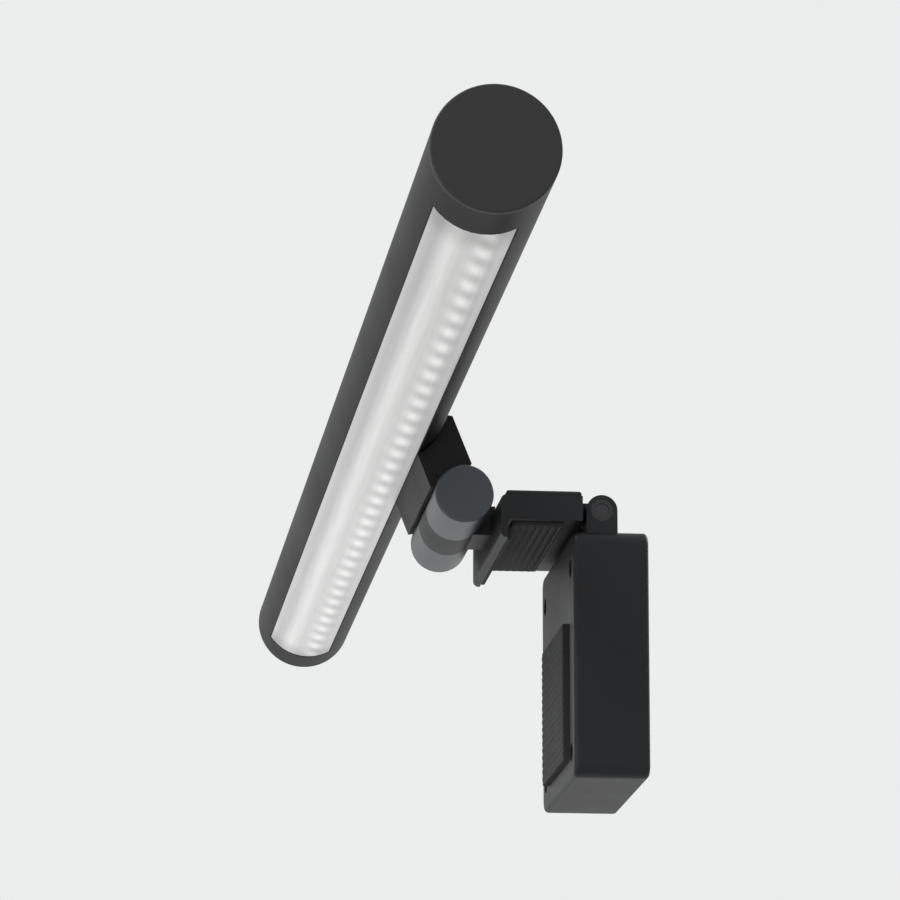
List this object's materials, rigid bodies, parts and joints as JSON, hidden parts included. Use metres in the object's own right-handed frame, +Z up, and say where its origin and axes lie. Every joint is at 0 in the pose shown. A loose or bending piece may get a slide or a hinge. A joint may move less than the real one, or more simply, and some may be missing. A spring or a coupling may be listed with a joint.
{
  "type": "monitor light bar",
  "caption": "Slim tube lamp with a long diffuser window below, on a tilting magnetic shaft and a weighted clip that hooks over a screen's top edge.",
  "frame": {"origin": "middle of the rest pad's underside, where the clip stands on the screen's top edge", "axes": "+X along the bar, +Y from the user towards the back of the screen, +Z up"},
  "size_m": [0.448, 0.068, 0.093],
  "materials": {
    "anodised_black": "fine matt black anodised",
    "diffuser": "frosted polycarbonate",
    "bare_aluminium": "mill finish",
    "circuit_board": "white solder mask",
    "led_phosphor": "phosphor silicone",
    "white_plastic": "white reflector",
    "clear_film": "polyimide film",
    "chip_black": "moulded epoxy",
    "wire_skin": "PVC wire",
    "socket_steel": "drawn stainless",
    "black_plastic": "fine spark texture",
    "cap_plastic": "fine matt moulded",
    "screw_steel": "blackened steel",
    "magnet_nickel": "nickel plated",
    "clip_plastic": "fine matt moulded",
    "pad_silicone": "silicone",
    "shaft_plastic": "satin moulded",
    "keeper_steel": "zinc plated",
    "weight_iron": "as cast",
    "bush_plastic": "black acetal"
  },
  "bodies": {
    "clip": {"bracket": "clip_plastic", "bracket_cover": "clip_plastic", "cover_screws": "screw_steel", "rest_pad": "pad_silicone", "lip_pad": "pad_silicone", "shaft_pin": "screw_steel", "shaft_barrel_left": "shaft_plastic", "shaft_barrel_right": "shaft_plastic", "keeper_sleeve_left": "keeper_steel", "keeper_sleeve_right": "keeper_steel", "shaft_end_left": "shaft_plastic", "shaft_end_right": "shaft_plastic", "hinge_pin": "screw_steel"},
    "lamp": {"tube_housing": "anodised_black", "window_lens": "diffuser", "carrier_rail": "bare_aluminium", "led_board": "circuit_board", "led_packages": "led_phosphor", "reflector": "white_plastic", "insulator_strip": "clear_film", "driver_board": "circuit_board", "driver_components": "chip_black", "lead_wires": "wire_skin", "usb_socket": "socket_steel", "socket_bezel": "black_plastic", "end_plug_left": "black_plastic", "end_plug_right": "black_plastic", "end_cap_left": "cap_plastic", "end_cap_right": "cap_plastic", "end_screws": "screw_steel", "saddle": "black_plastic", "magnets": "magnet_nickel", "saddle_screws": "screw_steel"},
    "rear_arm": {"arm_front_shell": "clip_plastic", "arm_back_cover": "clip_plastic", "arm_screws": "screw_steel", "counterweight": "weight_iron", "rear_pad": "pad_silicone", "hinge_bushes": "bush_plastic"}
  },
  "joints": [
    {"name": "lamp_tilt", "type": "hinge", "parent": "clip", "child": "lamp", "pos_m": [0, -0.0192, 0.0065], "axis": [1, 0, 0], "range_deg": [-10, 15]},
    {"name": "rear_arm_swing", "type": "hinge", "parent": "clip", "child": "rear_arm", "pos_m": [0, 0.011, 0.00375], "axis": [1, 0, 0], "range_deg": [0, 60]}
  ]
}
